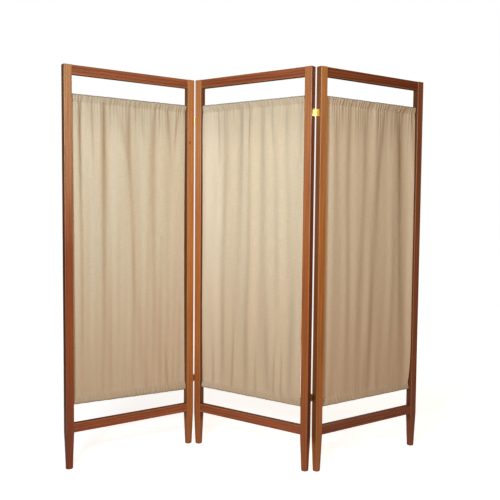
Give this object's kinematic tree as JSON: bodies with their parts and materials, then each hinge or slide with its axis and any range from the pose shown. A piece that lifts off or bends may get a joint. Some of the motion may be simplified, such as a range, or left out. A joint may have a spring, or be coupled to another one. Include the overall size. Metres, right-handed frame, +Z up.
{
  "type": "folding screen",
  "caption": "Folding screen of hinged hardwood frames on tapered round feet, each holding a gathered cloth curtain between an upper and a lower rod.",
  "frame": {"origin": "on the floor under the middle of the middle panel, which is the middle of the box of the standing screen", "axes": "+Z up, +X along the standing screen, -Y towards its front"},
  "size_m": [1.5302, 0.3668, 1.65],
  "materials": {
    "frame_wood": "oiled teak, satin, straight grain",
    "dowel_wood": "turned beech, unfinished",
    "rod_wood": "turned hardwood rod, oiled",
    "curtain_cloth": "plain woven natural linen, matt",
    "hinge_brass": "rolled brass, lightly tarnished",
    "screw_brass": "turned brass, slotted heads"
  },
  "bodies": {
    "panel_left": {"left_panel_left_post": "frame_wood", "left_panel_right_post": "frame_wood", "left_panel_top_rail": "frame_wood", "left_panel_bottom_rail": "frame_wood", "left_panel_dowels": "dowel_wood", "left_panel_upper_rod": "rod_wood", "left_panel_lower_rod": "rod_wood", "left_panel_curtain": "curtain_cloth", "left_upper_hinge_side_leaf": "hinge_brass", "left_upper_hinge_side_screws": "screw_brass", "left_lower_hinge_side_leaf": "hinge_brass", "left_lower_hinge_side_screws": "screw_brass"},
    "panel_middle": {"middle_panel_left_post": "frame_wood", "middle_panel_right_post": "frame_wood", "middle_panel_top_rail": "frame_wood", "middle_panel_bottom_rail": "frame_wood", "middle_panel_dowels": "dowel_wood", "middle_panel_upper_rod": "rod_wood", "middle_panel_lower_rod": "rod_wood", "middle_panel_curtain": "curtain_cloth", "left_upper_hinge_middle_leaf": "hinge_brass", "left_upper_hinge_middle_screws": "screw_brass", "left_upper_hinge_pin": "hinge_brass", "left_lower_hinge_middle_leaf": "hinge_brass", "left_lower_hinge_middle_screws": "screw_brass", "left_lower_hinge_pin": "hinge_brass", "right_upper_hinge_middle_leaf": "hinge_brass", "right_upper_hinge_middle_screws": "screw_brass", "right_upper_hinge_pin": "hinge_brass", "right_lower_hinge_middle_leaf": "hinge_brass", "right_lower_hinge_middle_screws": "screw_brass", "right_lower_hinge_pin": "hinge_brass"},
    "panel_right": {"right_panel_left_post": "frame_wood", "right_panel_right_post": "frame_wood", "right_panel_top_rail": "frame_wood", "right_panel_bottom_rail": "frame_wood", "right_panel_dowels": "dowel_wood", "right_panel_upper_rod": "rod_wood", "right_panel_lower_rod": "rod_wood", "right_panel_curtain": "curtain_cloth", "right_upper_hinge_side_leaf": "hinge_brass", "right_upper_hinge_side_screws": "screw_brass", "right_lower_hinge_side_leaf": "hinge_brass", "right_lower_hinge_side_screws": "screw_brass"}
  },
  "joints": [
    {"name": "left_fold", "type": "hinge", "parent": "panel_middle", "child": "panel_left", "pos_m": [-0.25587, 0.15902, 0.825], "axis": [0, 0, 1], "range_deg": [-70, 110]},
    {"name": "right_fold", "type": "hinge", "parent": "panel_middle", "child": "panel_right", "pos_m": [0.25587, -0.15902, 0.825], "axis": [0, 0, 1], "range_deg": [-70, 110]}
  ]
}
